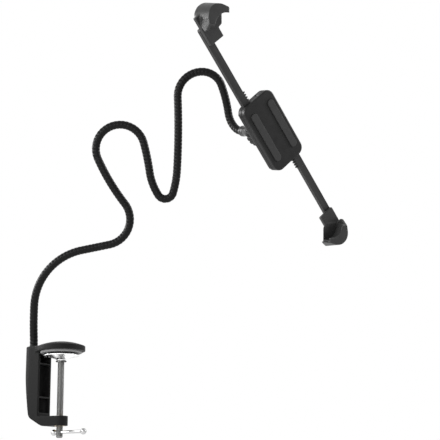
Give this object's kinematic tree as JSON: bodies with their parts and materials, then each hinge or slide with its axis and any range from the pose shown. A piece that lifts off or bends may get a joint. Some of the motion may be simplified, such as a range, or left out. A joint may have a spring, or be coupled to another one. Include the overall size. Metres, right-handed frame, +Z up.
{
  "type": "flexible tablet desk holder",
  "caption": "Desk clamp with a long ribbed bending arm and a swivelling cradle whose corner claws hold a tablet.",
  "frame": {"origin": "middle of the underside of the upper jaw's soft pad, on the clamp screw's axis", "axes": "+Z up, +X from the clamp's spine into the desk, so -Y is the side that the arm's bends face"},
  "size_m": [0.3542, 0.2432, 0.434],
  "materials": {
    "clamp_plastic": "moulded black, fine texture",
    "pad_rubber": "soft grey rubber",
    "zinc_steel": "bright zinc plate",
    "insert_brass": "turned",
    "chrome": "polished",
    "arm_sleeve": "black coated ribbed sleeve",
    "black_steel": "satin black",
    "cradle_plastic": "moulded black, satin",
    "seat_nylon": "natural nylon",
    "claw_plastic": "dark grey, semi-gloss",
    "claw_rubber": "soft black rubber",
    "screw_black": "black oxide"
  },
  "bodies": {
    "clamp": {"clamp_body": "clamp_plastic", "jaw_rubber_pad": "pad_rubber", "thread_insert": "insert_brass", "arm_base_ferrule": "black_steel", "arm_set_screw": "screw_black", "gooseneck_01": "arm_sleeve"},
    "pad_carrier": {"thrust_washer": "zinc_steel"},
    "pressure_pad": {"pressure_pad": "chrome"},
    "screw": {"clamp_screw": "zinc_steel"},
    "tommy_bar": {"tommy_bar": "chrome", "tommy_bar_balls": "chrome"},
    "arm_02": {"gooseneck_02": "arm_sleeve"},
    "arm_03": {"gooseneck_03": "arm_sleeve"},
    "arm_04": {"gooseneck_04": "arm_sleeve"},
    "arm_05": {"gooseneck_05": "arm_sleeve"},
    "arm_06": {"gooseneck_06": "arm_sleeve"},
    "arm_07": {"gooseneck_07": "arm_sleeve"},
    "arm_08": {"gooseneck_08": "arm_sleeve"},
    "arm_09": {"gooseneck_09": "arm_sleeve"},
    "arm_10": {"gooseneck_10": "arm_sleeve"},
    "arm_11": {"gooseneck_11": "arm_sleeve", "arm_end_ferrule": "black_steel", "ball_stud": "zinc_steel"},
    "ball_seat_inner": {"ball_seat_inner": "seat_nylon"},
    "ball_seat_outer": {"ball_seat_outer": "seat_nylon"},
    "cradle_hub": {"hub_rear_shell": "cradle_plastic", "hub_front_shell": "cradle_plastic", "hub_rubber_pads": "claw_rubber", "hub_screws": "screw_black", "pinion_axle": "zinc_steel", "lock_shoe": "seat_nylon"},
    "lock_ring": {"lock_ring": "cradle_plastic"},
    "pinion": {"pinion": "seat_nylon"},
    "claw_upper": {"rack_arm_upper": "cradle_plastic", "claw_upper": "claw_plastic", "claw_liner_upper": "claw_rubber", "claw_screws_upper": "screw_black"},
    "claw_lower": {"rack_arm_lower": "cradle_plastic", "claw_lower": "claw_plastic", "claw_liner_lower": "claw_rubber", "claw_screws_lower": "screw_black"},
    "lock_knob": {"lock_knob": "cradle_plastic", "lock_stem": "zinc_steel"}
  },
  "joints": [
    {"name": "clamp_travel", "type": "slide", "parent": "clamp", "child": "pad_carrier", "axis": [0, 0, -1], "range_m": [0, 0.0592]},
    {"name": "pad_tilt", "type": "hinge", "parent": "pad_carrier", "child": "pressure_pad", "pos_m": [0, 0, -0.0063], "axis": [0, 1, 0], "range_deg": [-4, 4]},
    {"name": "screw_turn", "type": "hinge", "parent": "pad_carrier", "child": "screw", "pos_m": [0, 0, -0.0063], "axis": [0, 0, -1], "range_deg": [0, 17049.6]},
    {"name": "tommy_bar_slide", "type": "slide", "parent": "screw", "child": "tommy_bar", "axis": [1, 0, 0], "range_m": [-0.024, 0]},
    {"name": "arm_bend_01", "type": "hinge", "parent": "clamp", "child": "arm_02", "pos_m": [-0.02711, -0.01349, 0.07126], "axis": [0.4035, -0.8653, -0.2974], "range_deg": [-20, 20]},
    {"name": "arm_bend_02", "type": "hinge", "parent": "arm_02", "child": "arm_03", "pos_m": [0.01806, -0.0071, 0.11393], "axis": [0.1738, 0.3916, -0.9036], "range_deg": [-20, 20]},
    {"name": "arm_bend_03", "type": "hinge", "parent": "arm_03", "child": "arm_04", "pos_m": [0.07506, 0.01292, 0.13303], "axis": [-0.4035, 0.8653, 0.2974], "range_deg": [-20, 20]},
    {"name": "arm_bend_04", "type": "hinge", "parent": "arm_04", "child": "arm_05", "pos_m": [0.06906, -0.00884, 0.18822], "axis": [-0.4035, 0.8653, 0.2974], "range_deg": [-20, 20]},
    {"name": "arm_bend_05", "type": "hinge", "parent": "arm_05", "child": "arm_06", "pos_m": [0.06787, -0.0288, 0.24467], "axis": [0.4035, -0.8653, -0.2974], "range_deg": [-12, 20]},
    {"name": "arm_bend_06", "type": "hinge", "parent": "arm_06", "child": "arm_07", "pos_m": [0.10988, -0.0037, 0.22864], "axis": [-0.9116, -0.3524, -0.2115], "range_deg": [-20, 20]},
    {"name": "arm_bend_07", "type": "hinge", "parent": "arm_07", "child": "arm_08", "pos_m": [0.12031, 0.02077, 0.17158], "axis": [-0.4035, 0.8653, 0.2974], "range_deg": [-12, 20]},
    {"name": "arm_bend_08", "type": "hinge", "parent": "arm_08", "child": "arm_09", "pos_m": [0.14383, 0.01342, 0.22487], "axis": [-0.4035, 0.8653, 0.2974], "range_deg": [-20, 20]},
    {"name": "arm_bend_09", "type": "hinge", "parent": "arm_09", "child": "arm_10", "pos_m": [0.15307, -0.00351, 0.2867], "axis": [0.8767, 0.4586, -0.1449], "range_deg": [-20, 20]},
    {"name": "arm_bend_10", "type": "hinge", "parent": "arm_10", "child": "arm_11", "pos_m": [0.19639, 0.01764, 0.29993], "axis": [0.654, -0.6124, -0.4441], "range_deg": [-20, 20]},
    {"name": "head_tilt", "type": "hinge", "parent": "arm_11", "child": "ball_seat_inner", "pos_m": [0.24335, 0.02218, 0.2337], "axis": [-0.5137, -0.5014, -0.6962], "range_deg": [-25, 25]},
    {"name": "head_swing", "type": "hinge", "parent": "ball_seat_inner", "child": "ball_seat_outer", "pos_m": [0.24335, 0.02218, 0.2337], "axis": [-0.1833, -0.7286, 0.66], "range_deg": [-25, 25]},
    {"name": "head_spin", "type": "hinge", "parent": "ball_seat_outer", "child": "cradle_hub", "pos_m": [0.24335, 0.02218, 0.2337], "axis": [0.8381, -0.4667, -0.2824], "continuous": true},
    {"name": "lock_ring_turn", "type": "hinge", "parent": "cradle_hub", "child": "lock_ring", "pos_m": [0.24335, 0.02218, 0.2337], "axis": [0.8381, -0.4667, -0.2824], "range_deg": [0, 120]},
    {"name": "claw_upper_slide", "type": "slide", "parent": "cradle_hub", "child": "claw_upper", "axis": [-0.1833, -0.7286, 0.66], "range_m": [-0.048, 0.022]},
    {"name": "claw_lower_slide", "type": "slide", "parent": "cradle_hub", "child": "claw_lower", "axis": [0.1833, 0.7286, -0.66], "range_m": [-0.048, 0.022]},
    {"name": "pinion_turn", "type": "hinge", "parent": "cradle_hub", "child": "pinion", "pos_m": [0.26514, 0.01005, 0.22636], "axis": [0.8381, -0.4667, -0.2824], "range_deg": [-210.09, 458.38]},
    {"name": "lock_knob_turn", "type": "hinge", "parent": "cradle_hub", "child": "lock_knob", "pos_m": [0.26488, 0.04426, 0.21861], "axis": [0.8381, -0.4667, -0.2824], "range_deg": [0, 180]}
  ],
  "couplings": [
    {"joint": "screw_turn", "follows": "clamp_travel", "rad_per_m": 5026.5},
    {"joint": "claw_lower_slide", "follows": "claw_upper_slide", "ratio": 1},
    {"joint": "pinion_turn", "follows": "claw_upper_slide", "rad_per_m": -166.67}
  ]
}
